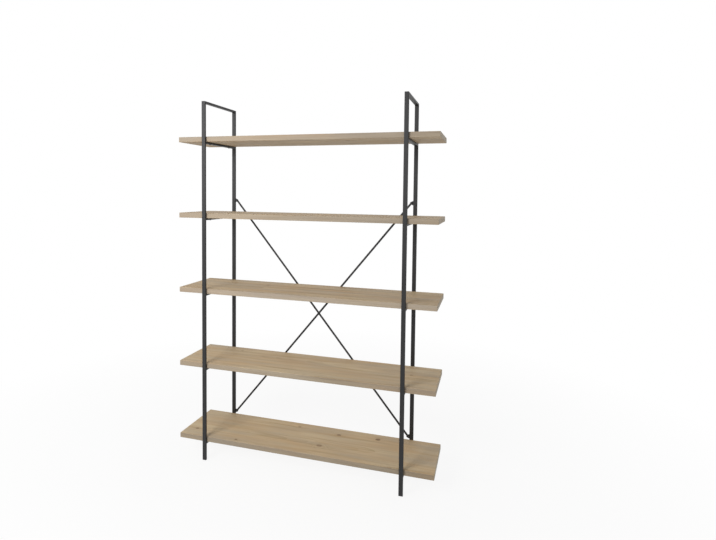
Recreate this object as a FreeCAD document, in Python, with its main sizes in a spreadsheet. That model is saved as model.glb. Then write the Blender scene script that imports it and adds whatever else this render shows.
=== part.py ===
import FreeCAD, Part
import math
import os

import Sketcher

# Five-shelf open unit: two welded ladder frames of rectangular steel tube carry five wooden
# boards, and two flat bars cross behind them. The tube's broad side faces the front on a leg and
# lies flat on a rung. Millimetres. +Z is up, the front faces -Y, and the origin lies on the floor
# at the middle of the footprint.

DRIVING_SIZES = (
    # frame tube
    ("tube_width", "20", "broad side of the frame tube"),
    ("tube_depth", "10", "narrow side of the frame tube"),
    ("tube_wall", "1.2", "wall of the frame tube"),
    ("tube_corner_radius", "2", "rolled outer corner of the tube"),
    # the frames and where the boards lie
    ("frame_spacing", "1005", "left frame to right frame, centre to centre"),
    ("frame_depth", "300", "front of the front legs to back of the rear legs"),
    ("floor_gap", "81", "floor to the underside of the lowest rung"),
    ("shelf_pitch", "378", "board top to board top"),
    ("head_height", "172", "top of the uppermost board to the top of the frame"),
    # boards
    ("board_overhang", "137.5", "board end beyond the outer face of a frame"),
    ("board_thickness", "25", "thickness of a board"),
    ("board_gap", "1", "board edge to a leg"),
    ("board_edge_radius", "1.5", "rounding round a board's upper and lower faces"),
    # foot plugs
    ("foot_flange", "2.5", "thickness of the plug's flange, on which the unit stands"),
    ("foot_chamfer", "0.8", "chamfer round the flange's lower edge"),
    ("plug_stem_length", "17", "stem inside the leg"),
    ("plug_stem_clearance", "0.9", "stem to the inside of the tube"),
    ("plug_fin_clearance", "0.1", "gripping fin to the inside of the tube"),
    ("plug_fin", "1", "thickness of a gripping fin"),
    ("plug_first_fin", "5", "flange to the lowest fin"),
    ("plug_lead", "1", "uppermost fin to the end of the stem"),
    ("plug_wall", "1.5", "wall of the hollow stem"),
    # cross brace
    ("brace_width", "10", "width of a brace bar"),
    ("brace_thickness", "2", "thickness of a brace bar"),
    ("brace_setback", "0.5", "front bar behind the rear legs' inner faces"),
    ("brace_end_gap", "4", "bar end to the leg beside it"),
    ("ear_thickness", "2", "thickness of a brace ear"),
    ("ear_height", "22", "height of an ear where it is welded to the leg"),
    ("ear_nose_radius", "7", "radius of the ear's rounded nose"),
    ("upper_ear_rise", "61", "upper ear's hole above the second board from the top"),
    ("lower_ear_rise", "14", "lower ear's hole above the lowest board"),
    # brace bolts
    ("bolt_diameter", "5", "thread diameter"),
    ("bolt_clearance", "0.25", "bolt to the wall of its hole"),
    ("bolt_head", "9.5", "diameter of the domed head"),
    ("bolt_head_height", "2.75", "height of the domed head"),
    ("bolt_head_rim", "0.9", "height of the head's straight rim"),
    ("bolt_head_crown", "4.8", "diameter of the flat round the socket"),
    ("bolt_socket", "3", "hexagon socket, across flats"),
    ("bolt_socket_depth", "1.6", "depth of the hexagon socket"),
    ("nut_width", "8", "nut, across flats"),
    ("nut_height", "2.7", "height of a thin nut"),
    ("bolt_tail", "0.3", "bolt beyond its nut"),
)

BOARD_COUNT = 5
PLUG_FIN_COUNT = 3
SIDES = (("left", -1), ("right", 1))
ENDS = (("front", -1), ("rear", 1))
Y_AXIS = FreeCAD.Vector(0, 1, 0)
Z_AXIS = FreeCAD.Vector(0, 0, 1)

doc = FreeCAD.newDocument("ShelvingUnit")
sheet = doc.addObject("Spreadsheet::Sheet", "Sizes")
for row, (alias, value, meaning) in enumerate(DRIVING_SIZES, start=1):
    sheet.set(f"A{row}", alias)
    sheet.set(f"B{row}", value)
    sheet.set(f"C{row}", meaning)
    sheet.setAlias(f"B{row}", alias)
doc.recompute()

# Lengths that follow from the driving sizes, as expressions on the sheet.
BORE_WIDTH = "(Sizes.tube_width - 2 * Sizes.tube_wall)"
BORE_DEPTH = "(Sizes.tube_depth - 2 * Sizes.tube_wall)"
INNER_DEPTH = "(Sizes.frame_depth - 2 * Sizes.tube_depth)"
BOARD_LENGTH = "(Sizes.frame_spacing + Sizes.tube_width + 2 * Sizes.board_overhang)"
BOARD_DEPTH = f"({INNER_DEPTH} - 2 * Sizes.board_gap)"
LOWEST_BOARD_TOP = "(Sizes.floor_gap + Sizes.tube_depth + Sizes.board_thickness)"
LEG_TOP = f"({LOWEST_BOARD_TOP} + {BOARD_COUNT - 1} * Sizes.shelf_pitch + Sizes.head_height)"
LEG_X = "(Sizes.frame_spacing / 2)"
LEG_Y = "((Sizes.frame_depth - Sizes.tube_depth) / 2)"

EAR_HOLE_REACH = "(Sizes.brace_width / 2 + Sizes.brace_end_gap)"
EAR_HOLE_X = f"({LEG_X} - Sizes.tube_width / 2 - {EAR_HOLE_REACH})"
UPPER_EAR_Z = f"({LOWEST_BOARD_TOP} + {BOARD_COUNT - 2} * Sizes.shelf_pitch + Sizes.upper_ear_rise)"
LOWER_EAR_Z = f"({LOWEST_BOARD_TOP} + Sizes.lower_ear_rise)"
BRACE_RUN = f"(2 * {EAR_HOLE_X})"
BRACE_RISE = f"({UPPER_EAR_Z} - {LOWER_EAR_Z})"
BRACE_HOLE_SPAN = f"sqrt({BRACE_RUN} ^ 2 + {BRACE_RISE} ^ 2)"
BRACE_ANGLE = f"atan2({BRACE_RISE}; {BRACE_RUN})"
BRACE_MIDDLE_Z = f"(({UPPER_EAR_Z} + {LOWER_EAR_Z}) / 2)"

# The brace is a stack from front to back: one bar, the ear, the other bar.
FRONT_BAR_Y = f"({INNER_DEPTH} / 2 + Sizes.brace_setback)"
EAR_Y = f"({FRONT_BAR_Y} + Sizes.brace_thickness)"
REAR_BAR_Y = f"({EAR_Y} + Sizes.ear_thickness)"
END_GRIP = "(Sizes.brace_thickness + Sizes.ear_thickness)"
CROSSING_GRIP = f"({END_GRIP} + Sizes.brace_thickness)"
BOLT_HOLE = "(Sizes.bolt_diameter + 2 * Sizes.bolt_clearance)"


def size(expression):
    """Value of an expression on the sheet, in plain millimetres or degrees."""
    value = sheet.evalExpression(expression)
    return float(getattr(value, "Value", value))


def new_body(label, base=(None, None, None)):
    """An empty body placed by one expression for each axis."""
    body = doc.addObject("PartDesign::Body", label)
    place(body, base)
    return body


def place(item, base):
    """Bind an object's position to one expression for each axis, where None is zero."""
    for axis, expression in zip("xyz", base):
        if expression:
            item.setExpression(f"Placement.Base.{axis}", expression)


def turn(item, axis, angle):
    """Turn an object about its own origin by an angle given as an expression."""
    item.Placement = FreeCAD.Placement(item.Placement.Base, FreeCAD.Rotation(axis, size(angle)))
    item.setExpression("Placement.Rotation.Angle", angle)


def new_sketch(body, name, role):
    """A sketch on one of the body's own origin planes."""
    plane = next(item for item in body.Origin.OriginFeatures if item.Role == role)
    sketch = body.newObject("Sketcher::SketchObject", name)
    sketch.AttachmentSupport = [(plane, "")]
    sketch.MapMode = "FlatFace"
    return sketch


def pin_point(sketch, line, end, x, y):
    """Hold one end of a line at x, y from the sketch's origin, each an expression."""
    for kind, axis, expression in (("DistanceX", "x", x), ("DistanceY", "y", y)):
        sketch.addConstraint(Sketcher.Constraint(kind, -1, 1, line, end, size(expression)))
        name = f"{axis}_{line}_{end}"
        sketch.renameConstraint(sketch.ConstraintCount - 1, name)
        sketch.setExpression(f"Constraints.{name}", expression)


def draw_polygon(sketch, corners):
    """A closed outline through corners given as pairs of expressions."""
    points = [FreeCAD.Vector(size(x), size(y), 0) for x, y in corners]
    first = sketch.GeometryCount
    for start, stop in zip(points, points[1:] + points[:1]):
        sketch.addGeometry(Part.LineSegment(start, stop))
    for index, (x, y) in enumerate(corners):
        line = first + index
        previous = first + (index - 1) % len(corners)
        sketch.addConstraint(Sketcher.Constraint("Coincident", previous, 2, line, 1))
        pin_point(sketch, line, 1, x, y)


def draw_circle(sketch, x, y, diameter):
    """A circle whose centre and diameter are expressions."""
    centre = FreeCAD.Vector(size(x), size(y), 0)
    circle = sketch.addGeometry(Part.Circle(centre, Z_AXIS, size(diameter) / 2))
    pin_point(sketch, circle, 3, x, y)
    sketch.addConstraint(Sketcher.Constraint("Diameter", circle, size(diameter)))
    name = f"diameter_{circle}"
    sketch.renameConstraint(sketch.ConstraintCount - 1, name)
    sketch.setExpression(f"Constraints.{name}", diameter)


def draw_rectangle(sketch, width, depth):
    """A rectangle centred on the sketch's origin."""
    right = f"({width} / 2)"
    left = f"(-{width} / 2)"
    far = f"({depth} / 2)"
    near = f"(-{depth} / 2)"
    draw_polygon(sketch, ((left, near), (right, near), (right, far), (left, far)))


def add_pad(body, sketch, length, side="One side", reverse=False):
    """Pad a sketch by an expression."""
    pad = body.newObject("PartDesign::Pad", "pad")
    pad.Profile = sketch
    pad.SideType = side
    pad.Reversed = reverse
    pad.setExpression("Length", length)
    doc.recompute()
    return pad


def add_cut(body, sketch, depth=None, side="Symmetric", reverse=False):
    """Pocket a sketch to a depth, or through everything, and check that it cut."""
    before = body.Shape.Volume
    pocket = body.newObject("PartDesign::Pocket", "pocket")
    pocket.Profile = sketch
    pocket.SideType = side
    pocket.Reversed = reverse
    if depth:
        pocket.setExpression("Length", depth)
    else:
        pocket.Type = "ThroughAll"
    doc.recompute()
    if not body.Shape.Volume < before:
        raise RuntimeError(f"{body.Label}: {pocket.Name} cuts nothing")
    return pocket


def round_edges(body, feature, radius, wanted):
    """Fillet the edges of a feature for which wanted(edge) is true."""
    edges = [f"Edge{index}" for index, edge in enumerate(feature.Shape.Edges, 1) if wanted(edge)]
    fillet = body.newObject("PartDesign::Fillet", "fillet")
    fillet.Base = (feature, edges)
    fillet.setExpression("Radius", radius)
    doc.recompute()
    return fillet


def runs_along(edge, axis):
    """True for a straight edge parallel to an axis."""
    return edge.Curve.TypeId == "Part::GeomLine" and abs(edge.Curve.Direction.dot(axis)) > 0.999


def add_tube(body, role, axis, length, side):
    """A rolled tube with rounded outer corners, broad side across X, padded along an axis."""
    profile = new_sketch(body, "profile", role)
    draw_rectangle(profile, "Sizes.tube_width", "Sizes.tube_depth")
    bar = add_pad(body, profile, length, side)
    round_edges(body, bar, "Sizes.tube_corner_radius", lambda edge: runs_along(edge, axis))
    bore = new_sketch(body, "bore", role)
    draw_rectangle(bore, BORE_WIDTH, BORE_DEPTH)
    add_cut(body, bore)


def make_leg(label, side, end):
    """Upright tube, open at the foot and mitred at 45 degrees where the top rail meets it."""
    body = new_body(label, (f"{side} * {LEG_X}", f"{end} * {LEG_Y}", "Sizes.foot_flange"))
    length = f"({LEG_TOP} - Sizes.foot_flange)"
    add_tube(body, "XY_Plane", Z_AXIS, length, "One side")
    mitre = new_sketch(body, "mitre", "YZ_Plane")
    outer = f"({end} * Sizes.tube_depth / 2)"
    inner = f"({-end} * Sizes.tube_depth / 2)"
    draw_polygon(mitre, ((outer, length), (inner, length), (inner, f"({length} - Sizes.tube_depth)")))
    add_cut(body, mitre)
    return body


def make_top_rail(label, side):
    """Level tube across the top of a frame, mitred down to both legs."""
    body = new_body(label, (f"{side} * {LEG_X}", None, f"{LEG_TOP} - Sizes.tube_depth / 2"))
    add_tube(body, "XZ_Plane", Y_AXIS, "Sizes.frame_depth", "Symmetric")
    for _, end in ENDS:
        tip = f"({end} * Sizes.frame_depth / 2)"
        shoulder = f"({end} * {INNER_DEPTH} / 2)"
        top = "(Sizes.tube_depth / 2)"
        bottom = "(-Sizes.tube_depth / 2)"
        mitre = new_sketch(body, "mitre", "YZ_Plane")
        draw_polygon(mitre, ((tip, bottom), (shoulder, bottom), (tip, top)))
        add_cut(body, mitre)
    return body


def rung_top(board):
    """Height of the rungs' upper faces under board 0, 1, 2 and so on, from the floor up."""
    return f"(Sizes.floor_gap + Sizes.tube_depth + {board} * Sizes.shelf_pitch)"


def make_rung(label, side, board):
    """Tube cut square and welded between the two legs of a frame, under one board."""
    middle = f"{rung_top(board)} - Sizes.tube_depth / 2"
    body = new_body(label, (f"{side} * {LEG_X}", None, middle))
    add_tube(body, "XZ_Plane", Y_AXIS, INNER_DEPTH, "Symmetric")
    return body


def make_board(label, board):
    """Plank with its long and end edges eased, lying between the front and rear legs."""
    body = new_body(label, (None, None, rung_top(board)))
    outline = new_sketch(body, "outline", "XY_Plane")
    far_x = f"({BOARD_LENGTH} / 2)"
    far_y = f"({BOARD_DEPTH} / 2)"
    corners = ((-1, -1), (1, -1), (1, 1), (-1, 1))
    draw_polygon(outline, [(f"({sx} * {far_x})", f"({sy} * {far_y})") for sx, sy in corners])
    plank = add_pad(body, outline, "Sizes.board_thickness")
    round_edges(body, plank, "Sizes.board_edge_radius", lambda edge: not runs_along(edge, Z_AXIS))
    return body


def make_foot_plug(label, side, end):
    """Moulded plug: a flange under the tube, a hollow stem in it and fins that grip the bore."""
    body = new_body(label, (f"{side} * {LEG_X}", f"{end} * {LEG_Y}", "Sizes.foot_flange"))
    flange_outline = new_sketch(body, "flange", "XY_Plane")
    draw_rectangle(flange_outline, "Sizes.tube_width", "Sizes.tube_depth")
    flange = add_pad(body, flange_outline, "Sizes.foot_flange", reverse=True)
    rounded = round_edges(
        body, flange, "Sizes.tube_corner_radius", lambda edge: runs_along(edge, Z_AXIS)
    )
    floor_level = -size("Sizes.foot_flange")
    rim = [
        f"Edge{index}"
        for index, edge in enumerate(rounded.Shape.Edges, 1)
        if abs(edge.BoundBox.ZMin - floor_level) < 0.01 and edge.BoundBox.ZLength < 0.01
    ]
    chamfer = body.newObject("PartDesign::Chamfer", "chamfer")
    chamfer.Base = (rounded, rim)
    chamfer.setExpression("Size", "Sizes.foot_chamfer")
    doc.recompute()
    stem_width = f"({BORE_WIDTH} - 2 * Sizes.plug_stem_clearance)"
    stem_depth = f"({BORE_DEPTH} - 2 * Sizes.plug_stem_clearance)"
    stem_outline = new_sketch(body, "stem", "XY_Plane")
    draw_rectangle(stem_outline, stem_width, stem_depth)
    add_pad(body, stem_outline, "Sizes.plug_stem_length")
    fin_outline = new_sketch(body, "fin", "XY_Plane")
    fin_outline.setExpression("AttachmentOffset.Base.z", "Sizes.plug_first_fin")
    fin_width = f"({BORE_WIDTH} - 2 * Sizes.plug_fin_clearance)"
    draw_rectangle(fin_outline, fin_width, f"({BORE_DEPTH} - 2 * Sizes.plug_fin_clearance)")
    fin = add_pad(body, fin_outline, "Sizes.plug_fin")
    fins = body.newObject("PartDesign::LinearPattern", "fins")
    fins.Originals = [fin]
    z_line = next(item for item in body.Origin.OriginFeatures if item.Role == "Z_Axis")
    fins.Direction = (z_line, [""])
    last_fin = "Sizes.plug_stem_length - Sizes.plug_lead - Sizes.plug_fin"
    fins.setExpression("Length", f"{last_fin} - Sizes.plug_first_fin")
    fins.Occurrences = PLUG_FIN_COUNT
    body.Tip = fins
    doc.recompute()
    hollow = new_sketch(body, "hollow", "XY_Plane")
    hollow_width = f"({stem_width} - 2 * Sizes.plug_wall)"
    draw_rectangle(hollow, hollow_width, f"({stem_depth} - 2 * Sizes.plug_wall)")
    add_cut(body, hollow, "Sizes.plug_stem_length", "One side", True)
    return body


def draw_nosed_plate(sketch, reach, half_height, radius):
    """An ear's outline: straight along the leg, tapering to a nose round its hole."""
    nose_x = size(reach)
    nose_radius = size(radius)
    foot = size(half_height)
    slant = math.hypot(nose_x, foot)
    lean = math.atan2(foot, -nose_x) - math.acos(nose_radius / slant)
    touch = FreeCAD.Vector(nose_x + nose_radius * math.cos(lean), nose_radius * math.sin(lean), 0)
    below = FreeCAD.Vector(touch.x, -touch.y, 0)
    sketch.addGeometry(Part.LineSegment(FreeCAD.Vector(0, foot, 0), FreeCAD.Vector(0, -foot, 0)))
    sketch.addGeometry(Part.LineSegment(FreeCAD.Vector(0, -foot, 0), below))
    nose = Part.Circle(FreeCAD.Vector(nose_x, 0, 0), Z_AXIS, nose_radius)
    sketch.addGeometry(Part.ArcOfCircle(nose, -lean, lean))
    sketch.addGeometry(Part.LineSegment(touch, FreeCAD.Vector(0, foot, 0)))
    sketch.addConstraint(Sketcher.Constraint("Coincident", 0, 2, 1, 1))
    sketch.addConstraint(Sketcher.Constraint("Tangent", 1, 2, 2, 1))
    sketch.addConstraint(Sketcher.Constraint("Tangent", 2, 2, 3, 1))
    sketch.addConstraint(Sketcher.Constraint("Coincident", 3, 2, 0, 1))
    pin_point(sketch, 0, 1, "0", half_height)
    pin_point(sketch, 0, 2, "0", f"(-{half_height})")
    pin_point(sketch, 2, 3, reach, "0")
    sketch.addConstraint(Sketcher.Constraint("Radius", 2, nose_radius))
    sketch.renameConstraint(sketch.ConstraintCount - 1, "nose_radius")
    sketch.setExpression("Constraints.nose_radius", radius)


def make_ear(label, side, height):
    """Drilled steel plate welded by its straight edge to the inner face of a rear leg."""
    face_x = f"{side} * ({LEG_X} - Sizes.tube_width / 2)"
    body = new_body(label, (face_x, f"{EAR_Y} + Sizes.ear_thickness / 2", height))
    plate = new_sketch(body, "plate", "XZ_Plane")
    draw_nosed_plate(plate, EAR_HOLE_REACH, "(Sizes.ear_height / 2)", "Sizes.ear_nose_radius")
    draw_circle(plate, EAR_HOLE_REACH, "0", BOLT_HOLE)
    add_pad(body, plate, "Sizes.ear_thickness", "Symmetric")
    if side > 0:
        turn(body, Z_AXIS, "180")
    return body


def make_brace(label, front_face, lean):
    """Flat bar with round ends, drilled at both ends and where it crosses the other bar."""
    middle_y = f"{front_face} + Sizes.brace_thickness / 2"
    body = new_body(label, (None, middle_y, BRACE_MIDDLE_Z))
    outline = new_sketch(body, "outline", "XZ_Plane")
    half_span = size(BRACE_HOLE_SPAN) / 2
    half_width = size("Sizes.brace_width") / 2
    for end in (1, -1):
        centre = FreeCAD.Vector(end * half_span, 0, 0)
        cap = Part.Circle(centre, Z_AXIS, half_width)
        start = -math.pi / 2 if end > 0 else math.pi / 2
        outline.addGeometry(Part.ArcOfCircle(cap, start, start + math.pi))
        pin_point(outline, outline.GeometryCount - 1, 3, f"({end} * {BRACE_HOLE_SPAN} / 2)", "0")
    for edge in (1, -1):
        right_end = FreeCAD.Vector(half_span, edge * half_width, 0)
        left_end = FreeCAD.Vector(-half_span, edge * half_width, 0)
        outline.addGeometry(Part.LineSegment(right_end, left_end))
    outline.addConstraint(Sketcher.Constraint("Tangent", 0, 2, 2, 1))
    outline.addConstraint(Sketcher.Constraint("Tangent", 2, 2, 1, 1))
    outline.addConstraint(Sketcher.Constraint("Tangent", 1, 2, 3, 2))
    outline.addConstraint(Sketcher.Constraint("Tangent", 3, 1, 0, 1))
    outline.addConstraint(Sketcher.Constraint("Radius", 0, half_width))
    outline.renameConstraint(outline.ConstraintCount - 1, "end_radius")
    outline.setExpression("Constraints.end_radius", "Sizes.brace_width / 2")
    for place_along in (-1, 0, 1):
        draw_circle(outline, f"({place_along} * {BRACE_HOLE_SPAN} / 2)", "0", BOLT_HOLE)
    add_pad(body, outline, "Sizes.brace_thickness", "Symmetric")
    turn(body, Y_AXIS, f"{lean} * {BRACE_ANGLE}")
    return body


def add_revolution(body, sketch, role):
    """Turn a half profile once round one of the body's own axes."""
    axis_line = next(item for item in body.Origin.OriginFeatures if item.Role == role)
    solid = body.newObject("PartDesign::Revolution", "revolution")
    solid.Profile = sketch
    solid.ReferenceAxis = (axis_line, [""])
    solid.Angle = 360
    doc.recompute()
    return solid


def draw_hexagon(sketch, across_flats):
    """A regular hexagon centred on the origin, given its size across flats."""
    corners = []
    for index in range(6):
        radius = f"({across_flats} / sqrt(3))"
        angle = f"{60 * index}"
        corners.append((f"({radius} * cos({angle}))", f"({radius} * sin({angle}))"))
    draw_polygon(sketch, corners)


def make_bolt(label, grip, base=(None, None, None)):
    """Dome-headed bolt along +Y: the head's seat is at its origin, and the dome faces the front."""
    body = new_body(label, base)
    profile = new_sketch(body, "half_profile", "XY_Plane")
    shank = "(Sizes.bolt_diameter / 2)"
    head = "(Sizes.bolt_head / 2)"
    crown = "(Sizes.bolt_head_crown / 2)"
    top = "(-Sizes.bolt_head_height)"
    rim = "(-Sizes.bolt_head_rim)"
    tail = f"({grip} + Sizes.nut_height + Sizes.bolt_tail)"
    head_half = (("0", top), (crown, top), (head, rim), (head, "0"))
    draw_polygon(profile, head_half + ((shank, "0"), (shank, tail), ("0", tail)))
    add_revolution(body, profile, "Y_Axis")
    socket = new_sketch(body, "socket", "XZ_Plane")
    socket.setExpression("AttachmentOffset.Base.z", "Sizes.bolt_head_height")
    draw_hexagon(socket, "Sizes.bolt_socket")
    add_cut(body, socket, "Sizes.bolt_socket_depth", "One side")
    return body


def make_nut(label, base=(None, None, None)):
    """Hexagon nut along +Y, its front face at its origin."""
    body = new_body(label, base)
    outline = new_sketch(body, "outline", "XZ_Plane")
    draw_hexagon(outline, "Sizes.nut_width")
    draw_circle(outline, "0", "0", BOLT_HOLE)
    add_pad(body, outline, "Sizes.nut_height", reverse=True)
    return body


def make_spacer(label):
    """Round ring that fills the gap between the two bars where they cross."""
    body = new_body(label, (None, EAR_Y, BRACE_MIDDLE_Z))
    outline = new_sketch(body, "outline", "XZ_Plane")
    draw_circle(outline, "0", "0", "Sizes.brace_width")
    draw_circle(outline, "0", "0", BOLT_HOLE)
    add_pad(body, outline, "Sizes.ear_thickness", reverse=True)
    return body


def make_group(label, pattern, bases):
    """Copies of one fastener as separate solids in one node."""
    copies = []
    for base in bases:
        copy = doc.addObject("App::Link", f"{label}_copy")
        copy.LinkedObject = pattern
        place(copy, base)
        copies.append(copy)
    group = doc.addObject("Part::Compound", label)
    group.Links = copies
    return group


nodes = []
for side_name, side in SIDES:
    for end_name, end in ENDS:
        nodes.append(make_leg(f"{side_name}_{end_name}_leg", side, end))
        nodes.append(make_foot_plug(f"{side_name}_{end_name}_foot_plug", side, end))
    nodes.append(make_top_rail(f"{side_name}_top_rail", side))
    for board in range(BOARD_COUNT):
        nodes.append(make_rung(f"{side_name}_rung_{board + 1}", side, board))
    nodes.append(make_ear(f"{side_name}_upper_brace_ear", side, UPPER_EAR_Z))
    nodes.append(make_ear(f"{side_name}_lower_brace_ear", side, LOWER_EAR_Z))

for board in range(BOARD_COUNT):
    nodes.append(make_board(f"shelf_board_{board + 1}", board))

# The front bar rises to the right and the rear bar rises to the left.
nodes.append(make_brace("front_brace_bar", FRONT_BAR_Y, -1))
nodes.append(make_brace("rear_brace_bar", REAR_BAR_Y, 1))

end_bolt = make_bolt("end_bolt", END_GRIP)
end_nut = make_nut("end_nut")
front_ends = ((1, UPPER_EAR_Z), (-1, LOWER_EAR_Z))
rear_ends = ((-1, UPPER_EAR_Z), (1, LOWER_EAR_Z))
bolt_seats = [(f"{side} * {EAR_HOLE_X}", FRONT_BAR_Y, height) for side, height in front_ends]
bolt_seats += [(f"{side} * {EAR_HOLE_X}", EAR_Y, height) for side, height in rear_ends]
nut_seats = [(x, f"{y} + {END_GRIP}", z) for x, y, z in bolt_seats]
nodes.append(make_group("brace_end_bolts", end_bolt, bolt_seats))
nodes.append(make_group("brace_end_nuts", end_nut, nut_seats))
crossing_seat = (None, FRONT_BAR_Y, BRACE_MIDDLE_Z)
crossing_back = (None, f"{FRONT_BAR_Y} + {CROSSING_GRIP}", BRACE_MIDDLE_Z)
nodes.append(make_bolt("crossing_bolt", CROSSING_GRIP, crossing_seat))
nodes.append(make_nut("crossing_nut", crossing_back))
nodes.append(make_spacer("crossing_spacer"))

doc.recompute()
for item in doc.Objects:
    if "Invalid" in item.State or "Error" in item.State:
        raise RuntimeError(f"{item.Label} failed: {item.State}")
for node in nodes:
    if node.Shape.isNull() or not node.Shape.isValid():
        raise RuntimeError(f"{node.Label} has no valid shape")

os.makedirs("parts", exist_ok=True)
for node in nodes:
    node.Shape.exportStep(f"parts/{node.Label}.step")
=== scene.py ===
import math
import random

import bmesh
import bpy
from mathutils import Matrix, Vector


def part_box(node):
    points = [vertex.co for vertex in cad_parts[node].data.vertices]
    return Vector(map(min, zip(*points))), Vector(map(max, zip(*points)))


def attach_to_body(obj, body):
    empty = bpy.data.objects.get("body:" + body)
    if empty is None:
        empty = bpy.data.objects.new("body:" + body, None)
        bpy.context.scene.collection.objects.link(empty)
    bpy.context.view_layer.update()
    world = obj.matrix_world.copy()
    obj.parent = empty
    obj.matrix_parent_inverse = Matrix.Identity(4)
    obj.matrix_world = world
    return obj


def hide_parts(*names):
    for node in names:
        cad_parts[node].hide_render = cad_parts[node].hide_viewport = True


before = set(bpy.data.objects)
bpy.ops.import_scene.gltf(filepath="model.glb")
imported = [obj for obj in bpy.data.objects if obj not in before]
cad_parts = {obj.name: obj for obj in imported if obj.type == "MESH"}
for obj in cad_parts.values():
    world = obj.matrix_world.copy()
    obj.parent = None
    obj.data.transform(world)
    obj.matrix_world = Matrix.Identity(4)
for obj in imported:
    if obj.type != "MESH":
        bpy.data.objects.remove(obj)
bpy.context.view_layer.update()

# ------------------------------------------------------------------------------------------------
# Side frames
# Each is two uprights, a top rail mitred between them and a rung under every board, all of 20 by
# 10 mm steel tube, broad side to the front. They are welded, then sprayed with charcoal powder.

SIDES = (("left", -1), ("right", 1))
ENDS = ("front", "rear")
BOARD_NUMBERS = range(1, 6)
CHARCOAL_THIN = (33, 33, 34)
CHARCOAL_THICK = (43, 43, 44)
COAT_DRIFT_PER_METRE = 6
COAT_PEBBLES_PER_METRE = 650
COAT_PEBBLE_HEIGHT = 0.000007
COAT_ROUGHNESS = (0.38, 0.52)


def swatch(red, green, blue):
    """A colour given as 0 to 255 on screen (sRGB), as the linear colour that a shader takes."""
    shares = (red / 255, green / 255, blue / 255)
    return (*[((share + 0.055) / 1.055) ** 2.4 for share in shares], 1.0)


def feed(tree, socket, value):
    """Give a socket a fixed value or another node's output."""
    if isinstance(value, bpy.types.NodeSocket):
        tree.links.new(value, socket)
    else:
        socket.default_value = value


def add_node(tree, kind, menus=None, **inputs):
    """Add a shader node, choose from its menus and feed its inputs by name."""
    node = tree.nodes.new(f"ShaderNode{kind}")
    for menu, choice in (menus or {}).items():
        setattr(node, menu, choice)
    for name, value in inputs.items():
        feed(tree, node.inputs[name.replace("_", " ")], value)
    return node


def spread(tree, value, low, high):
    """Stretch a 0 to 1 value from low to high."""
    return add_node(tree, "MapRange", Value=value, To_Min=low, To_Max=high).outputs["Result"]


def patches(tree, place, per_metre, seed=0.0, octaves=2.0):
    """Soft noise from 0 to 1, with so many patches a metre along X, Y and Z.

    It is turned after it is stretched, so that its own grid never shows as a line across a piece.
    """
    shift = (seed, seed, seed)
    turn = (0.6, 0.5, 0.7)
    stretched = add_node(tree, "Mapping", Vector=place, Location=shift, Rotation=turn, Scale=per_metre)
    noise = add_node(tree, "TexNoise", Vector=stretched.outputs["Vector"], Scale=1.0, Detail=octaves)
    return noise.outputs["Fac"]


def mix_colours(tree, share, first, second):
    """Go from the first colour to the second as share goes from 0 to 1."""
    node = tree.nodes.new("ShaderNodeMix")
    node.data_type = "RGBA"
    for index, value in ((0, share), (6, first), (7, second)):
        feed(tree, node.inputs[index], value)
    return node.outputs[2]


def start_finish(name, **sockets):
    """A new finish: its material, its node tree, the object's own coordinates and its shader."""
    material = bpy.data.materials.new(name)
    material.use_nodes = True
    tree = material.node_tree
    shader = tree.nodes["Principled BSDF"]
    for socket, value in sockets.items():
        shader.inputs[socket.replace("_", " ")].default_value = value
    place = add_node(tree, "TexCoord").outputs["Object"]
    return material, tree, place, shader


def raise_surface(tree, shader, height, depth):
    """Let a 0 to 1 height stand proud of the surface by up to depth."""
    bump = add_node(tree, "Bump", Height=height, Distance=depth)
    tree.links.new(bump.outputs["Normal"], shader.inputs["Normal"])


def spray_powder_coat(name):
    """Satin powder coat: finely pebbled, with a slow drift in its thickness and its sheen."""
    material, tree, place, shader = start_finish(name, Specular_IOR_Level=0.32)
    drift = patches(tree, place, (COAT_DRIFT_PER_METRE,) * 3, octaves=4.0)
    pebbles = patches(tree, place, (COAT_PEBBLES_PER_METRE,) * 3)
    colour = mix_colours(tree, drift, swatch(*CHARCOAL_THIN), swatch(*CHARCOAL_THICK))
    feed(tree, shader.inputs["Base Color"], colour)
    feed(tree, shader.inputs["Roughness"], spread(tree, drift, *COAT_ROUGHNESS))
    raise_surface(tree, shader, pebbles, COAT_PEBBLE_HEIGHT)
    return material


def finish_nodes(material, names):
    """Give CAD nodes a finish."""
    for name in names:
        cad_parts[name].material_slots[0].material = material


charcoal_coat = spray_powder_coat("charcoal_powder_coat")
for side, _ in SIDES:
    tubes = [f"{side}_{end}_leg" for end in ENDS] + [f"{side}_top_rail"]
    tubes += [f"{side}_rung_{number}" for number in BOARD_NUMBERS]
    finish_nodes(charcoal_coat, tubes)

# ------------------------------------------------------------------------------------------------
# Weld beads
# A rung's end has a bead below and one down each side. A top corner has one inside and a nearly
# flush one along each side of the mitre, an ear one on each face. All lie under the charcoal coat.

BEAD_RADIUS = 0.0016
MITRE_BEAD_RADIUS = 0.0011
MITRE_BEAD_PROUD = 0.0003
GROOVE_BEAD_INSET = 0.0009
BEAD_RIPPLE = 0.0016
BEAD_SWELL = 1.16
BEAD_END_SHARE = 0.55
BEAD_SIDES = 10
FEWEST_RIPPLES = 3
TUBE_CORNER = 0.002
BRACE_LEVELS = ("upper", "lower")
ROUND_BELOW = 35
BEAD_ROUND_BELOW = 60


def new_piece(name):
    """The object that the last primitive made, named and ready to shape."""
    piece = bpy.context.object
    piece.name = name
    piece.data.name = name
    bpy.ops.object.transform_apply(location=True, rotation=True, scale=True)
    return piece


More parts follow.
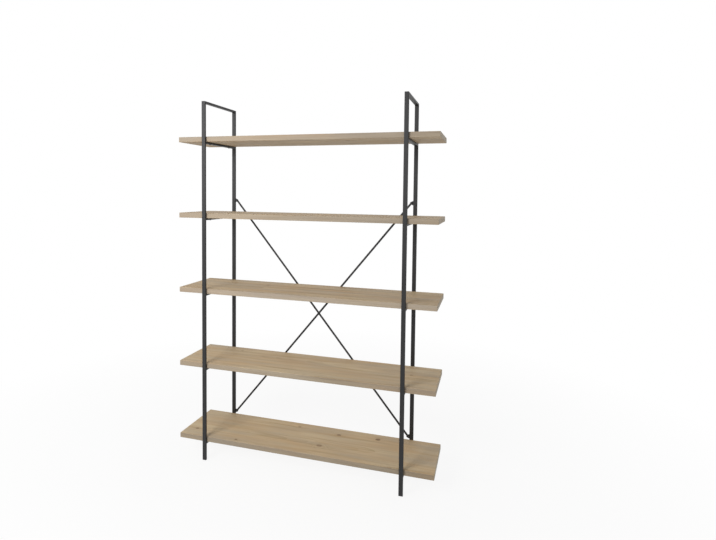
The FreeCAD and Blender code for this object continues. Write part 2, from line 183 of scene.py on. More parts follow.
def edit(piece, kind):
    """Open a piece for editing with its vertices, edges or faces to be picked."""
    bpy.ops.object.select_all(action="DESELECT")
    bpy.context.view_layer.objects.active = piece
    piece.select_set(True)
    bpy.ops.object.mode_set(mode="EDIT")
    bpy.ops.mesh.select_mode(type=kind)


def pick(piece, kind, wanted):
    """Select only the verts, edges or faces for which wanted is true."""
    bpy.ops.mesh.select_all(action="DESELECT")
    mesh = bmesh.from_edit_mesh(piece.data)
    for element in getattr(mesh, kind):
        if wanted(element):
            element.select_set(True)
    bmesh.update_edit_mesh(piece.data)


def shade_round(degrees=ROUND_BELOW):
    """Shade the active piece as round wherever its faces meet at less than so many degrees."""
    bpy.ops.object.shade_smooth_by_angle(angle=math.radians(degrees))


def close(degrees=ROUND_BELOW):
    """Leave edit mode and shade the piece that was open."""
    bpy.ops.object.mode_set(mode="OBJECT")
    shade_round(degrees)


def attach(piece, material, replaced=()):
    """Give a finished piece its finish, let it ride with the unit and hide what it stands for."""
    piece.data.materials.clear()
    piece.data.materials.append(material)
    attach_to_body(piece, "root")
    if replaced:
        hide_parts(*replaced)


def join(pieces, name):
    """Make several pieces one object."""
    bpy.ops.object.select_all(action="DESELECT")
    for piece in pieces:
        piece.select_set(True)
    bpy.context.view_layer.objects.active = pieces[0]
    bpy.ops.object.join()
    joined = bpy.context.object
    joined.name = name
    joined.data.name = name
    return joined


def lay_bead(length, radius):
    """A rippled rod from the origin up Z, with rounded ends."""
    ripples = 2 * max(FEWEST_RIPPLES, round(length / BEAD_RIPPLE))
    bpy.ops.mesh.primitive_cylinder_add(
        vertices=BEAD_SIDES,
        radius=radius,
        depth=length,
        end_fill_type="TRIFAN",
        location=(0, 0, length / 2),
    )
    bead = new_piece("bead")
    edit(bead, "EDGE")
    pick(bead, "edges", lambda edge: abs(edge.verts[0].co.z - edge.verts[1].co.z) > length / 2)
    bpy.ops.mesh.subdivide(number_cuts=ripples - 1)
    step = length / ripples
    bpy.ops.mesh.select_mode(type="VERT")
    pick(bead, "verts", lambda vert: round(vert.co.z / step) % 2 == 1)
    bpy.ops.transform.resize(value=(BEAD_SWELL, BEAD_SWELL, 1), center_override=(0, 0, 0))
    pick(bead, "verts", lambda vert: min(vert.co.z, length - vert.co.z) < step / 2)
    narrower = (BEAD_END_SHARE, BEAD_END_SHARE, 1)
    bpy.ops.transform.resize(value=narrower, center_override=(0, 0, 0))
    close(BEAD_ROUND_BELOW)
    return bead


def bead_between(start, end, radius):
    """One bead laid from start to end."""
    run = Vector(end) - Vector(start)
    turn = run.to_track_quat("Z", "Y").to_matrix().to_4x4()
    bead = lay_bead(run.length, radius)
    bead.data.transform(Matrix.Translation(start) @ turn)
    return bead


for side, outwards in SIDES:
    beads = []
    leg_low, leg_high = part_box(f"{side}_front_leg")
    middle_x = (leg_low.x + leg_high.x) / 2
    half_tube = (leg_high.x - leg_low.x) / 2
    across = half_tube - TUBE_CORNER
    for number in BOARD_NUMBERS:
        low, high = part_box(f"{side}_rung_{number}")
        for butt in (low.y, high.y):
            below = [(middle_x + face * across, butt, low.z) for face in (-1, 1)]
            beads.append(bead_between(*below, BEAD_RADIUS))
            groove_y = butt + math.copysign(GROOVE_BEAD_INSET, butt)
            for face in (-1, 1):
                groove_x = middle_x + face * (half_tube - GROOVE_BEAD_INSET)
                foot = (groove_x, groove_y, low.z + TUBE_CORNER)
                head = (groove_x, groove_y, high.z - TUBE_CORNER)
                beads.append(bead_between(foot, head, BEAD_RADIUS))
    low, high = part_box(f"{side}_top_rail")
    tube = high.z - low.z
    for outer in (low.y, high.y):
        inner = outer - math.copysign(tube, outer)
        corner = [(middle_x + face * across, inner, low.z) for face in (-1, 1)]
        beads.append(bead_between(*corner, BEAD_RADIUS))
        lean = math.copysign(TUBE_CORNER, outer)
        for face in (-1, 1):
            sunk = middle_x + face * (half_tube + MITRE_BEAD_PROUD - MITRE_BEAD_RADIUS)
            start = (sunk, inner + lean, low.z + TUBE_CORNER)
            stop = (sunk, outer - lean, high.z - TUBE_CORNER)
            beads.append(bead_between(start, stop, MITRE_BEAD_RADIUS))
    for level in BRACE_LEVELS:
        low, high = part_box(f"{side}_{level}_brace_ear")
        root_x = middle_x - outwards * half_tube
        for face_y in (low.y, high.y):
            start = (root_x, face_y, low.z + BEAD_RADIUS)
            stop = (root_x, face_y, high.z - BEAD_RADIUS)
            beads.append(bead_between(start, stop, BEAD_RADIUS))
    attach(join(beads, f"{side}_frame_welds"), charcoal_coat)

# ------------------------------------------------------------------------------------------------
# Foot plugs
# A moulded black plastic plug closes the foot of each leg. Its flange stands on the floor and has
# the fine matt grain of the mould.

PLASTIC_BLACK = (30, 30, 31)
PLASTIC_SCUFFED = (44, 44, 44)
PLASTIC_SCUFFS_PER_METRE = (120, 120, 400)
MOULD_GRAIN_PER_METRE = 1800
MOULD_GRAIN_HEIGHT = 0.00002

plug_plastic, tree, place, shader = start_finish("moulded_black_plastic", Roughness=0.6)
scuffs = patches(tree, place, PLASTIC_SCUFFS_PER_METRE, octaves=4.0)
plastic = mix_colours(tree, scuffs, swatch(*PLASTIC_BLACK), swatch(*PLASTIC_SCUFFED))
feed(tree, shader.inputs["Base Color"], plastic)
raise_surface(tree, shader, patches(tree, place, (MOULD_GRAIN_PER_METRE,) * 3), MOULD_GRAIN_HEIGHT)
finish_nodes(plug_plastic, [f"{side}_{end}_foot_plug" for side, _ in SIDES for end in ENDS])

# ------------------------------------------------------------------------------------------------
# Shelf planks
# Five solid planks of greyed, matt-oiled softwood with the grain lengthwise, planed to 25 mm and
# eased by hand along every edge. Each is cut from its own stretch of log, with its own knots.

PLANK_CORNER = 0.0022
PLANK_ARRIS = 0.0015
PLANK_CUTS = 96
PLANK_EDGE_ANGLE = 1.2
NEARLY = 0.9
HAND_WEAR = 0.0007
WEAR_LENGTH = 0.06

RING_WIDTH = 0.0042
LATE_WOOD_IN_YEAR = ((0.0, 0.0), (0.5, 0.15), (0.96, 1.0), (1.0, 0.0))
SPELLS_PER_YEAR = 0.2
LOG_RUN_OUT = 0.03
LOG_WANDER = 0.03
# Patches: how many a metre along X, Y and Z, what they add to the plank's seed, and their octaves.
LOG_SWAY = ((1.1, 2, 2), 0, 2.0)
LOG_LIFT = ((1.6, 3, 3), 31, 2.0)
STREAKS = ((4, 170, 170), 7, 4.0)
PORES = ((28, 1300, 1300), 3, 2.0)
BANDS = ((1.4, 45, 45), 23, 3.0)
STAINS = ((2.5, 22, 22), 11, 3.0)
SEED_STEP = 5.3

KNOT_STRETCH = 1.5
KNOT_FLOW_REACH = 3.2
KNOT_FLOW_PATCHES = ((25, 60, 60), 5, 2.0)
KNOT_FLOW_RANGE = (0.6, 1.4)
KNOT_RINGS = 4
KNOT_RIM_PATCHES = ((160, 260, 40), 5, 3.0)
KNOT_RIM_RANGE = (0.7, 1.3)
KNOT_RIM_OUTER = 1.5
KNOT_RIM_INNER = 0.8
FAR_FROM_KNOTS = 1000.0

WOOD_BALANCE = -2.68
LATE_WOOD_DEPTH = 0.3
YEARLY_DEPTH = 0.2
SPELL_DEPTH = 1.0
STREAK_DEPTH = 1.6
PORE_DEPTH = 0.2
BAND_DEPTH = 1.5
STAIN_DEPTH = 1.5
HALO_DEPTH = 0.3

WOOD_PALE = (206, 186, 152)
WOOD_MIDDLE = (187, 165, 130)
WOOD_DARK = (150, 126, 93)
WOOD_SHADES = ((0.0, WOOD_PALE), (0.5, WOOD_MIDDLE), (1.0, WOOD_DARK))
WOOD_WARM = (195, 163, 122)
WOOD_COOL = (180, 164, 141)
TINT_RANGE = (-0.9, 1.4)
TINTS = (
    (WOOD_WARM, ((3, 20, 20), 19, 2.0)),
    (WOOD_COOL, ((3, 20, 20), 41, 2.0)),
)
# Painted light: each plank's end faces are painted a paler grey, standing in for the light they catch.
END_GREY_AND_PAINTED_LIGHT = (176, 170, 158)
END_PAINTED_LIGHT_SHARE = 0.5
# Painted shade: the long front and back faces are painted a darker grey than the top, darker on the
# lower planks.
EDGE_GREY_AND_PAINTED_SHADE = (138, 130, 122)
EDGE_PAINTED_SHADE_SHARE = 0.55
KNOT_HEART = (150, 122, 92)
KNOT_BROWN = (134, 106, 78)
KNOT_BARK = (108, 83, 61)
KNOT_SHADES = ((0.0, KNOT_HEART), (0.45, KNOT_BROWN), (0.6, KNOT_BARK), (1.0, KNOT_BROWN))
WOOD_ROUGHNESS = (0.5, 0.7)
GRAIN_HEIGHT = 0.00005


def work_out(tree, operation, *values):
    """The result of one Math node."""
    node = add_node(tree, "Math", {"operation": operation})
    for socket, value in zip(node.inputs, values):
        feed(tree, socket, value)
    return node.outputs["Value"]


def blend_colours(tree, value, stops):
    """Colours at their places from 0 to 1, blended in between."""
    node = add_node(tree, "ValToRGB", Fac=value)
    elements = node.color_ramp.elements
    while len(elements) < len(stops):
        elements.new(0.5)
    for element, (position, colour) in zip(elements, stops):
        element.position = position
        element.color = colour
    return node.outputs["Color"]


def blend_values(tree, value, stops):
    """Values at their places from 0 to 1, blended in between."""
    return blend_colours(tree, value, [(place, (grey, grey, grey, 1.0)) for place, grey in stops])


def blend_swatches(tree, value, stops):
    """Colours given as 0 to 255 on screen, at their places from 0 to 1, blended in between."""
    return blend_colours(tree, value, [(place, swatch(*colour)) for place, colour in stops])


def grow_wood(name, low, high, heart, knots, shade, edge_painted_shade, seed):
    """Wood sawn from a log whose heart runs beside the plank, bulging round its knots."""
    material, tree, place, shader = start_finish(name, Specular_IOR_Level=0.3)
    centre = (low + high) / 2
    here = add_node(tree, "Mapping", Vector=place, Location=-centre).outputs["Vector"]
    along, across, up = add_node(tree, "SeparateXYZ", Vector=here).outputs

    def grown(kind):
        """Patches of one kind, as they lie in this plank."""
        per_metre, add_to_seed, octaves = kind
        return patches(tree, here, per_metre, seed + add_to_seed, octaves)

    drift = grown(LOG_SWAY)
    sideways = work_out(tree, "MULTIPLY_ADD", drift, LOG_WANDER, -heart[0] - LOG_WANDER / 2)
    drift = grown(LOG_LIFT)
    upwards = work_out(tree, "MULTIPLY_ADD", drift, LOG_WANDER, -heart[1] - LOG_WANDER / 2)
    upwards = work_out(tree, "MULTIPLY_ADD", along, LOG_RUN_OUT, upwards)
    sideways = work_out(tree, "ADD", across, sideways)
    upwards = work_out(tree, "ADD", up, upwards)
    from_heart = add_node(tree, "CombineXYZ", X=sideways, Y=upwards).outputs["Vector"]
    radius = add_node(tree, "VectorMath", {"operation": "LENGTH"}, Vector=from_heart).outputs["Value"]

    ragged = spread(tree, grown(KNOT_RIM_PATCHES), *KNOT_RIM_RANGE)
    nearest = FAR_FROM_KNOTS
    solid = 0.0
    for knot_x, knot_y, knot_radius, strength in knots:
        shares = (1 / knot_radius / KNOT_STRETCH, 1 / knot_radius, 0)
        shifts = (-knot_x * shares[0], -knot_y * shares[1], 0)
        near = add_node(tree, "Mapping", Vector=here, Location=shifts, Scale=shares).outputs["Vector"]
        offset = add_node(tree, "VectorMath", {"operation": "LENGTH"}, Vector=near).outputs["Value"]
        nearest = work_out(tree, "MINIMUM", offset, nearest)
        inside = add_node(tree, "MapRange", From_Min=KNOT_RIM_OUTER, From_Max=KNOT_RIM_INNER)
        feed(tree, inside.inputs["Value"], work_out(tree, "MULTIPLY", offset, ragged))
        feed(tree, inside.inputs["To Max"], strength)
        solid = work_out(tree, "MAXIMUM", inside.outputs["Result"], solid)
    uneven = spread(tree, grown(KNOT_FLOW_PATCHES), *KNOT_FLOW_RANGE)
    flow = work_out(tree, "DIVIDE", work_out(tree, "MULTIPLY", nearest, uneven), KNOT_FLOW_REACH)
    falling = work_out(tree, "MULTIPLY", work_out(tree, "POWER", flow, 2.0), -1.0)
    halo = work_out(tree, "EXPONENT", falling)

    years = work_out(tree, "DIVIDE", radius, RING_WIDTH)
    years = work_out(tree, "MULTIPLY_ADD", halo, KNOT_RINGS, years)
    season = work_out(tree, "FRACT", years)
    late = blend_values(tree, season, LATE_WOOD_IN_YEAR)
    line = {"noise_dimensions": "1D"}
    whole_years = work_out(tree, "FLOOR", years)
    yearly = add_node(tree, "TexWhiteNoise", line, W=whole_years).outputs["Value"]
    spell = add_node(tree, "TexNoise", line, W=years, Scale=SPELLS_PER_YEAR, Detail=2.0).outputs["Fac"]
    streaks = grown(STREAKS)
    pores = grown(PORES)
    # The plank's own darkening: partly the wood's tone and partly painted light for how brightly its
    # top is lit.
    darkness = WOOD_BALANCE + shade
    for value, depth in (
        (late, LATE_WOOD_DEPTH),
        (yearly, YEARLY_DEPTH),
        (spell, SPELL_DEPTH),
        (streaks, STREAK_DEPTH),
        (pores, PORE_DEPTH),
        (grown(BANDS), BAND_DEPTH),
        (grown(STAINS), STAIN_DEPTH),
        (halo, HALO_DEPTH),
    ):
        darkness = work_out(tree, "MULTIPLY_ADD", value, depth, darkness)
    colour = blend_swatches(tree, darkness, WOOD_SHADES)
    for tint, kind in TINTS:
        tinge = spread(tree, grown(kind), *TINT_RANGE)
        colour = mix_colours(tree, tinge, colour, swatch(*tint))
    # Painted shade and light: the long faces are blended to a darker grey, by each plank's own amount,
    # and the ends to a paler grey.
    edge_painted_grey = [channel * edge_painted_shade for channel in EDGE_GREY_AND_PAINTED_SHADE]
    for offset, reach, grey, painted_light_share in (
        (across, high.y - centre.y, edge_painted_grey, EDGE_PAINTED_SHADE_SHARE),
        (along, high.x - centre.x, END_GREY_AND_PAINTED_LIGHT, END_PAINTED_LIGHT_SHARE),
    ):
        painted_light_band = add_node(tree, "MapRange", Value=work_out(tree, "ABSOLUTE", offset))
        feed(tree, painted_light_band.inputs["From Min"], reach - PLANK_ARRIS)
        feed(tree, painted_light_band.inputs["From Max"], reach)
        feed(tree, painted_light_band.inputs["To Max"], painted_light_share)
        colour = mix_colours(tree, painted_light_band.outputs["Result"], colour, swatch(*grey))

    from_knot = work_out(tree, "MULTIPLY", nearest, ragged)
    from_knot = work_out(tree, "DIVIDE", from_knot, KNOT_RIM_OUTER)
    knot_wood = blend_swatches(tree, from_knot, KNOT_SHADES)
    feed(tree, shader.inputs["Base Color"], mix_colours(tree, solid, colour, knot_wood))
    feed(tree, shader.inputs["Roughness"], spread(tree, streaks, *WOOD_ROUGHNESS))
    raise_surface(tree, shader, work_out(tree, "ADD", late, pores), GRAIN_HEIGHT)
    return material


def from_outline(low, high, point):
    """How far a point of a plank lies from the nearer end and from the nearer long edge."""
    from_end = min(abs(point.x - low.x), abs(point.x - high.x))
    from_edge = min(abs(point.y - low.y), abs(point.y - high.y))
    return from_end, from_edge


def keep_flats_flat(piece):
    """Shade the large faces as truly flat, so that only the rounding between them looks round."""
    weighted = piece.modifiers.new("flats", "WEIGHTED_NORMAL")
    weighted.keep_sharp = True
    bpy.ops.object.modifier_apply(modifier="flats")


def mill_plank(name, node):
    """A plank of the CAD board's size with its corners rounded and its arrises eased and worn."""
    low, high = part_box(node)
    bpy.ops.mesh.primitive_cube_add(size=1, location=(low + high) / 2)
    bpy.context.object.scale = high - low
    plank = new_piece(name)
    edit(plank, "EDGE")
    pick(plank, "edges", lambda edge: edge.calc_length() > (high.x - low.x) / 2)
    bpy.ops.mesh.subdivide(number_cuts=PLANK_CUTS)
    upright = high.z - low.z
    pick(
        plank,
        "edges",
        lambda edge: abs(edge.verts[0].co.z - edge.verts[1].co.z) > upright / 2
        and max(from_outline(low, high, edge.verts[0].co)) < PLANK_ARRIS / 2,
    )
    bpy.ops.mesh.bevel(offset=PLANK_CORNER, segments=4)
    pick(
        plank,
        "edges",
        lambda edge: len(edge.link_faces) == 2 and edge.calc_face_angle() > PLANK_EDGE_ANGLE,
    )
    bpy.ops.mesh.bevel(offset=PLANK_ARRIS, segments=3)
    pick(
        plank,
        "verts",
        lambda vert: min(vert.co.z - low.z, high.z - vert.co.z) < PLANK_ARRIS * NEARLY
        and min(from_outline(low, high, vert.co)) < PLANK_ARRIS * NEARLY,
    )
    bpy.ops.object.vertex_group_add()
    plank.vertex_groups.active.name = "arris"
    bpy.ops.object.vertex_group_assign()
    bpy.ops.object.mode_set(mode="OBJECT")
    dents = bpy.data.textures.new("dents", "CLOUDS")
    dents.noise_scale = WEAR_LENGTH
    wear = plank.modifiers.new("wear", "DISPLACE")
    wear.texture = dents
    wear.strength = HAND_WEAR
    wear.mid_level = 1.0
    wear.vertex_group = "arris"
    bpy.ops.object.modifier_apply(modifier="wear")
    shade_round()
    keep_flats_flat(plank)
    return plank


# Board by board, from the lowest: where the log's heart runs, along Y and Z from the plank's middle;
# how much darker its wood is, partly its own tone and partly painted light; how dark the painted shade
# on its long faces is; and its knots, each as its place along X and Y from the plank's middle, its
# radius, and how strongly it shows.
LOG_HEARTS = ((-0.03, -0.085), (0.045, 0.095), (-0.02, -0.07), (0.06, -0.11), (-0.05, -0.09))
PLANK_TONES_AND_PAINTED_LIGHT = (-0.22, -0.2, 0.12, 0.0, 0.0)
EDGE_PAINTED_SHADE_LEVELS = (0.88, 0.95, 1.15, 1.0, 1.0)
PLANK_KNOTS = (
    (
        (0.342, 0.090, 0.007, 1.0),
        (0.140, 0.077, 0.006, 0.8),
        (0.078, -0.050, 0.008, 0.7),
        (-0.085, 0.097, 0.005, 0.5),
        (-0.591, -0.075, 0.005, 0.95),
        (-0.341, -0.118, 0.004, 0.9),
    ),
    ((-0.420, 0.090, 0.004, 0.5), (0.517, 0.015, 0.004, 0.6)),
    ((-0.250, 0.050, 0.006, 0.7), (0.595, -0.038, 0.004, 0.6)),
    ((-0.160, 0.040, 0.006, 0.8), (0.410, 0.085, 0.005, 0.9)),
    ((0.210, -0.060, 0.007, 0.9), (-0.400, 0.030, 0.005, 0.7), (0.500, 0.020, 0.004, 1.0)),
)

logs = zip(BOARD_NUMBERS, LOG_HEARTS, PLANK_TONES_AND_PAINTED_LIGHT, EDGE_PAINTED_SHADE_LEVELS, PLANK_KNOTS)
for number, heart, shade, edge_painted_shade, knots in logs:
    low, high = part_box(f"shelf_board_{number}")
    seed = number * SEED_STEP
    wood = grow_wood(f"oiled_wood_{number}", low, high, heart, knots, shade, edge_painted_shade, seed)
    plank = mill_plank(f"plank_{number}", f"shelf_board_{number}")
    attach(plank, wood, [f"shelf_board_{number}"])

# ------------------------------------------------------------------------------------------------
# Board screws
# Two pan-head wood screws go up through each rung into its board. They have a cross recess and
# are blacked.

SCREW_HEAD = 0.008
SCREW_HEAD_HEIGHT = 0.0026
SCREW_DOME = 0.0019
SCREW_SHANK = 0.0038
SCREW_LENGTH = 0.026
SCREW_POINT = 0.004
SCREW_FROM_MIDDLE = 0.09
RECESS_SPAN = 0.0042
RECESS_WIDTH = 0.0009
RECESS_DEPTH = 0.0016
RECESS_FLOOR_SHARE = 0.45
POINT_SHARE = 0.06
TAIL_CHAMFERS_IN_SHANK = 12
TURNED_SIDES = 48
TURN_SEED = 12
BLACKING = (36, 36, 38)
BLACKING_RUBBED = (66, 66, 68)
BLACKING_RUBS_PER_METRE = 700
BLACKING_ROUGHNESS = (0.5, 0.3)
BLACKING_GRAIN_PER_METRE = 1800
BLACKING_GRAIN_HEIGHT = 0.00001

blacked_steel, tree, place, shader = start_finish("blacked_steel", Metallic=0.35)
rubbing = patches(tree, place, (BLACKING_RUBS_PER_METRE,) * 3, octaves=4.0)
steel = mix_colours(tree, rubbing, swatch(*BLACKING), swatch(*BLACKING_RUBBED))
feed(tree, shader.inputs["Base Color"], steel)
feed(tree, shader.inputs["Roughness"], spread(tree, rubbing, *BLACKING_ROUGHNESS))
blacking_grain = patches(tree, place, (BLACKING_GRAIN_PER_METRE,) * 3)
raise_surface(tree, shader, blacking_grain, BLACKING_GRAIN_HEIGHT)


def turn_fastener(head, head_height, dome, shank, length, point=0.0):
    """A domed head under the origin and a shank from there up Z, with its end tapered."""
    bpy.ops.mesh.primitive_cylinder_add(
        vertices=TURNED_SIDES, radius=head / 2, depth=head_height, location=(0, 0, -head_height / 2)
    )
    fastener = new_piece("fastener")
    edit(fastener, "EDGE")
    crown = -head_height * NEARLY
    pick(fastener, "edges", lambda edge: max(vert.co.z for vert in edge.verts) < crown)
    bpy.ops.mesh.bevel(offset=dome, segments=8)
    pick(fastener, "faces", lambda face: face.normal.z > NEARLY)
    bpy.ops.mesh.inset(thickness=(head - shank) / 2)
    bpy.ops.mesh.extrude_region_move(TRANSFORM_OT_translate={"value": (0, 0, length - point)})
    if point:
        bpy.ops.mesh.extrude_region_move(TRANSFORM_OT_translate={"value": (0, 0, point)})
        narrower = (POINT_SHARE, POINT_SHARE, 1)
        bpy.ops.transform.resize(value=narrower, center_override=(0, 0, length))
    else:
        bpy.ops.mesh.bevel(offset=shank / TAIL_CHAMFERS_IN_SHANK, segments=1)
    close()
    return fastener


def carve(piece, cutter, operation="DIFFERENCE"):
    """Cut one piece by another, which is used up."""
    bpy.ops.object.select_all(action="DESELECT")
    bpy.context.view_layer.objects.active = piece
    piece.select_set(True)
    boolean = piece.modifiers.new("carve", "BOOLEAN")
    boolean.operation = operation
    boolean.object = cutter
    bpy.ops.object.modifier_apply(modifier="carve")
    bpy.data.objects.remove(cutter)
    shade_round()


def set_copy(pattern, place):
    """A copy of a modelled pattern with its own mesh, moved to its place."""
    copy = pattern.copy()
    copy.data = pattern.data.copy()
    copy.data.transform(place)
    bpy.context.scene.collection.objects.link(copy)
    return copy


screw = turn_fastener(
    SCREW_HEAD, SCREW_HEAD_HEIGHT, SCREW_DOME, SCREW_SHANK, SCREW_LENGTH, SCREW_POINT
)
for slant in (0, math.pi / 2):
    crown = (0, 0, -SCREW_HEAD_HEIGHT)
    bpy.ops.mesh.primitive_cube_add(size=1, location=crown, rotation=(0, 0, slant))
    bpy.context.object.scale = (RECESS_SPAN, RECESS_WIDTH, RECESS_DEPTH * 2)
    blade = new_piece("blade")
    edit(blade, "FACE")
    pick(blade, "faces", lambda face: face.normal.z > NEARLY)
    narrower = (RECESS_FLOOR_SHARE, RECESS_FLOOR_SHARE, 1)
    bpy.ops.transform.resize(value=narrower, center_override=(0, 0, 0))
    close()
    carve(screw, blade)

chance = random.Random(TURN_SEED)
for side, _ in SIDES:
    screws = []
    for number in BOARD_NUMBERS:
        low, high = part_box(f"{side}_rung_{number}")
        for place_y in (-SCREW_FROM_MIDDLE, SCREW_FROM_MIDDLE):
            seat = Matrix.Translation(((low.x + high.x) / 2, place_y, low.z))
            spin = Matrix.Rotation(chance.uniform(0, math.tau), 4, "Z")
            screws.append(set_copy(screw, seat @ spin))
    attach(join(screws, f"{side}_board_screws"), blacked_steel)
bpy.data.objects.remove(screw)

# ------------------------------------------------------------------------------------------------
# Cross brace
# Two flat steel bars cross behind the boards, bolted to drilled ears on the rear legs. The bars
# are cut from rolled flat, so their edges are soft, and they are coated like the frames.

BAR_ARRIS = 0.0003
MERGE_WITHIN = 0.00001
FLAT_WITHIN = 0.5
SHARP_ABOVE = 40

for side, _ in SIDES:
    finish_nodes(charcoal_coat, [f"{side}_{level}_brace_ear" for level in BRACE_LEVELS])


def soften_copy(node, name, arris):
    """A copy of a CAD node with its flat faces whole and its sharp edges rounded."""
    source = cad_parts[node]
    piece = set_copy(source, Matrix.Identity(4))
    piece.name = name
    piece.parent = None
    edit(piece, "VERT")
    bpy.ops.mesh.select_all(action="SELECT")
    bpy.ops.mesh.customdata_custom_splitnormals_clear()
    bpy.ops.mesh.remove_doubles(threshold=MERGE_WITHIN)
    bpy.ops.mesh.dissolve_limited(angle_limit=math.radians(FLAT_WITHIN))
    bpy.ops.object.mode_set(mode="OBJECT")
    rounding = piece.modifiers.new("arris", "BEVEL")
    rounding.width = arris
    rounding.segments = 2
    rounding.limit_method = "ANGLE"
    rounding.angle_limit = math.radians(SHARP_ABOVE)
    bpy.ops.object.modifier_apply(modifier="arris")
    shade_round()
    keep_flats_flat(piece)
    return piece


for end in ENDS:
    bar = soften_copy(f"{end}_brace_bar", f"{end}_brace_flat", BAR_ARRIS)
    attach(bar, charcoal_coat, [f"{end}_brace_bar"])

# ------------------------------------------------------------------------------------------------
# Bolts, nuts and spacer
# M5 button-head socket bolts with thin hexagon nuts behind, four at the bars' ends and one where
# the bars cross, and there a turned ring fills the gap between them.

BOLT_HEAD = 0.0095
BOLT_HEAD_HEIGHT = 0.00275
BOLT_DOME = 0.00184
BOLT_SHANK = 0.005
BOLT_TAIL = 0.0003
SOCKET_ACROSS_FLATS = 0.003
SOCKET_DEPTH = 0.0016
NUT_ACROSS_FLATS = 0.008
NUT_HEIGHT = 0.0027
NUT_CHAMFER = 0.0005
NUT_BORE = 0.0051
BORE_SIDES = 32
ON_AXIS = 0.0001
HOLE_FROM_EAR_END = 0.007
HEXAGON_RADIUS = 1 / math.sqrt(3)

finish_nodes(blacked_steel, ["crossing_spacer"])


def turn_bolt(grip):
    """A button-head bolt along +Y, its head's seat at the origin."""
    length = grip + NUT_HEIGHT + BOLT_TAIL
    bolt = turn_fastener(BOLT_HEAD, BOLT_HEAD_HEIGHT, BOLT_DOME, BOLT_SHANK, length)
    bpy.ops.mesh.primitive_cylinder_add(
        vertices=6,
        radius=SOCKET_ACROSS_FLATS * HEXAGON_RADIUS,
        depth=SOCKET_DEPTH * 2,
        end_fill_type="TRIFAN",
        location=(0, 0, -BOLT_HEAD_HEIGHT),
    )
    key = new_piece("key")
    edit(key, "VERT")
    pick(key, "verts", lambda vert: vert.co.z > -BOLT_HEAD_HEIGHT and vert.co.xy.length < ON_AXIS)
    bpy.ops.transform.translate(value=(0, 0, SOCKET_DEPTH / 4))
    close()
    carve(bolt, key)
    bolt.data.transform(Matrix.Rotation(-math.pi / 2, 4, "X"))
    return bolt


def make_nut():
    """A chamfered hexagon nut along +Y, its front face at the origin."""
    half = NUT_HEIGHT / 2
    middle = (0, 0, half)
    corner = NUT_ACROSS_FLATS * HEXAGON_RADIUS
    bpy.ops.mesh.primitive_cylinder_add(vertices=6, radius=corner, depth=NUT_HEIGHT, location=middle)
    nut = new_piece("nut")
    bpy.ops.mesh.primitive_cylinder_add(
        vertices=TURNED_SIDES, radius=corner, depth=NUT_HEIGHT, location=middle
    )
    drum = new_piece("drum")
    edit(drum, "EDGE")
    pick(drum, "edges", lambda edge: abs(edge.verts[0].co.z - edge.verts[1].co.z) < half)
    bpy.ops.mesh.bevel(offset=NUT_CHAMFER, segments=1)
    close()
    carve(nut, drum, "INTERSECT")
    bpy.ops.mesh.primitive_cylinder_add(
        vertices=BORE_SIDES, radius=NUT_BORE / 2, depth=NUT_HEIGHT * 2, location=middle
    )
    carve(nut, new_piece("tap"))
    edit(nut, "EDGE")
    pick(
        nut,
        "edges",
        lambda edge: abs(edge.verts[0].co.z - edge.verts[1].co.z) < half
        and max(vert.co.xy.length for vert in edge.verts) < NUT_BORE / 2 + NUT_CHAMFER / 2,
    )
    bpy.ops.mesh.bevel(offset=NUT_CHAMFER / 2, segments=1)
    close()
    nut.data.transform(Matrix.Rotation(-math.pi / 2, 4, "X"))
    return nut


bar_low, bar_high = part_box("front_brace_bar")
_, rear_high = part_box("rear_brace_bar")
bar_thickness = bar_high.y - bar_low.y
ear_low, ear_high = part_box("left_upper_brace_ear")
ear_thickness = ear_high.y - ear_low.y
end_bolt = turn_bolt(bar_thickness + ear_thickness)
crossing_bolt = turn_bolt(bar_thickness * 2 + ear_thickness)
nut_pattern = make_nut()
end_bolts = []
end_nuts = []
for side, outwards in SIDES:
    for level in BRACE_LEVELS:
        low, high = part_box(f"{side}_{level}_brace_ear")
        hole_x = (low.x if outwards > 0 else high.x) + outwards * HOLE_FROM_EAR_END
        on_front_bar = (side, level) in (("right", "upper"), ("left", "lower"))
        seat_y = bar_low.y if on_front_bar else ear_low.y
        height = (low.z + high.z) / 2
        spin = Matrix.Rotation(chance.uniform(0, math.tau), 4, "Y")
        end_bolts.append(set_copy(end_bolt, Matrix.Translation((hole_x, seat_y, height)) @ spin))
        back_y = seat_y + bar_thickness + ear_thickness
        spin = Matrix.Rotation(chance.uniform(0, math.tau), 4, "Y")
        end_nuts.append(set_copy(nut_pattern, Matrix.Translation((hole_x, back_y, height)) @ spin))
attach(join(end_bolts, "end_bolt_set"), blacked_steel, ["brace_end_bolts"])
attach(join(end_nuts, "end_nut_set"), blacked_steel, ["brace_end_nuts"])
middle = (bar_low + bar_high) / 2
centre_bolt = set_copy(crossing_bolt, Matrix.Translation((middle.x, bar_low.y, middle.z)))
centre_bolt.name = "centre_bolt"
attach(centre_bolt, blacked_steel, ["crossing_bolt"])
centre_nut = set_copy(nut_pattern, Matrix.Translation((middle.x, rear_high.y, middle.z)))
centre_nut.name = "centre_nut"
attach(centre_nut, blacked_steel, ["crossing_nut"])
for pattern in (end_bolt, crossing_bolt, nut_pattern):
    bpy.data.objects.remove(pattern)

# ------------------------------------------------------------------------------------------------
# Floor, light and camera
# A pale floor that keeps the unit's shadow, one large lamp high at the front left, a soft white
# surround, and the camera.

ROOM_WIDTH = 40
FLOOR_GREY = (232, 232, 232)
FLOOR_WHITENESS = 0.9
FLOOR_FADES_FROM = 0.8
FLOOR_FADES_TO = 2.4
SURROUND_LIGHT = 0.47
SURROUND_BEHIND = 0.3
KEY_PLACE = (-1.0, -2.3, 1.95)
KEY_TARGET = (0, 0, 0.8)
KEY_SIZE = 1.3
KEY_WATTS = 53


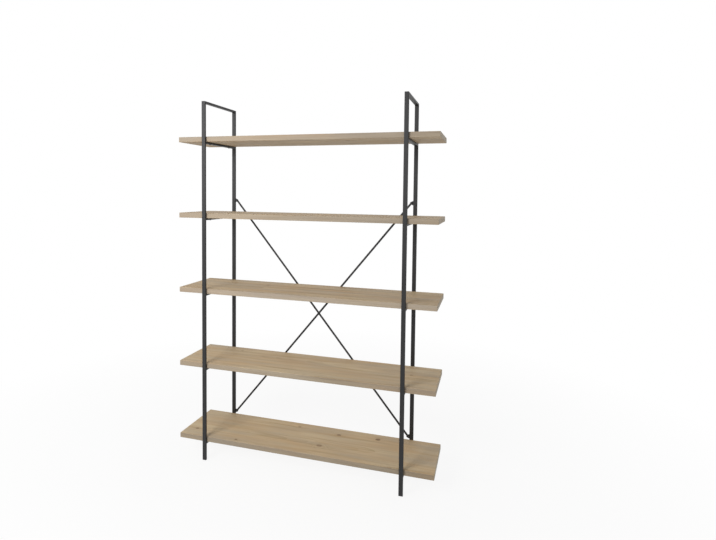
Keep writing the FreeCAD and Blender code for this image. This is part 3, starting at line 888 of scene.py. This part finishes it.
def looked_at(tree):
    """1 where a ray comes from the camera, a glossy surface or a clear one, and 0 elsewhere."""
    rays = add_node(tree, "LightPath").outputs
    seen = work_out(tree, "MAXIMUM", rays["Is Camera Ray"], rays["Is Glossy Ray"])
    return work_out(tree, "MAXIMUM", seen, rays["Is Transmission Ray"])


bpy.ops.mesh.primitive_plane_add(size=ROOM_WIDTH)
floor = bpy.context.object
floor.name = "floor"
floor_paint = bpy.data.materials.new("pale_floor")
floor_paint.use_nodes = True
tree = floor_paint.node_tree
tree.nodes.remove(tree.nodes["Principled BSDF"])
matt = add_node(tree, "BsdfDiffuse", Color=swatch(*FLOOR_GREY)).outputs["BSDF"]
white = add_node(tree, "Emission", Color=(1, 1, 1, 1), Strength=1.0).outputs["Emission"]
distance = add_node(tree, "VectorMath", {"operation": "LENGTH"})
feed(tree, distance.inputs[0], add_node(tree, "TexCoord").outputs["Object"])
fading = add_node(tree, "MapRange", Value=distance.outputs["Value"], To_Min=FLOOR_WHITENESS)
feed(tree, fading.inputs["From Min"], FLOOR_FADES_FROM)
feed(tree, fading.inputs["From Max"], FLOOR_FADES_TO)
share = work_out(tree, "MULTIPLY", looked_at(tree), fading.outputs["Result"])
mixed = add_node(tree, "MixShader")
for index, value in enumerate((share, matt, white)):
    feed(tree, mixed.inputs[index], value)
tree.links.new(mixed.outputs["Shader"], tree.nodes["Material Output"].inputs["Surface"])
floor.data.materials.append(floor_paint)

world = bpy.data.worlds.new("studio")
bpy.context.scene.world = world
world.use_nodes = True
tree = world.node_tree
towards = add_node(tree, "SeparateXYZ", Vector=add_node(tree, "TexCoord").outputs["Generated"])
light = work_out(tree, "MULTIPLY_ADD", towards.outputs["Y"], SURROUND_BEHIND, 1.0)
light = work_out(tree, "MULTIPLY", light, SURROUND_LIGHT)
strength = spread(tree, looked_at(tree), light, 1.0)
feed(tree, tree.nodes["Background"].inputs["Strength"], strength)
tree.nodes["Background"].inputs["Color"].default_value = (1, 1, 1, 1)

lamp = bpy.data.lights.new("key_softbox", "AREA")
lamp.shape = "SQUARE"
lamp.size = KEY_SIZE
lamp.energy = KEY_WATTS
key = bpy.data.objects.new("key_softbox", lamp)
key.location = KEY_PLACE
key.rotation_euler = (Vector(KEY_TARGET) - Vector(KEY_PLACE)).to_track_quat("-Z", "Y").to_euler()
bpy.context.scene.collection.objects.link(key)

CAMERA_PLACE = (0.867, -2.241, 1.360)
CAMERA_TURN_LEFT = 0.2786
CAMERA_TILT_DOWN = 0.0449
CAMERA_ROLL = 0.0111
CAMERA_LENS = 24.3
CAMERA_SENSOR = 36
CAMERA_SHIFT_X = 0.0063
CAMERA_SHIFT_Y = -0.0777

eye = bpy.data.cameras.new("camera")
eye.lens = CAMERA_LENS
eye.sensor_width = CAMERA_SENSOR
eye.shift_x = CAMERA_SHIFT_X
eye.shift_y = CAMERA_SHIFT_Y
camera = bpy.data.objects.new("camera", eye)
turn = Matrix.Rotation(CAMERA_TURN_LEFT, 4, "Z")
tilt = Matrix.Rotation(math.pi / 2 - CAMERA_TILT_DOWN, 4, "X")
roll = Matrix.Rotation(CAMERA_ROLL, 4, "Z")
camera.matrix_world = Matrix.Translation(CAMERA_PLACE) @ turn @ tilt @ roll
bpy.context.scene.collection.objects.link(camera)
bpy.context.scene.camera = camera
bpy.context.scene.view_settings.view_transform = "Standard"
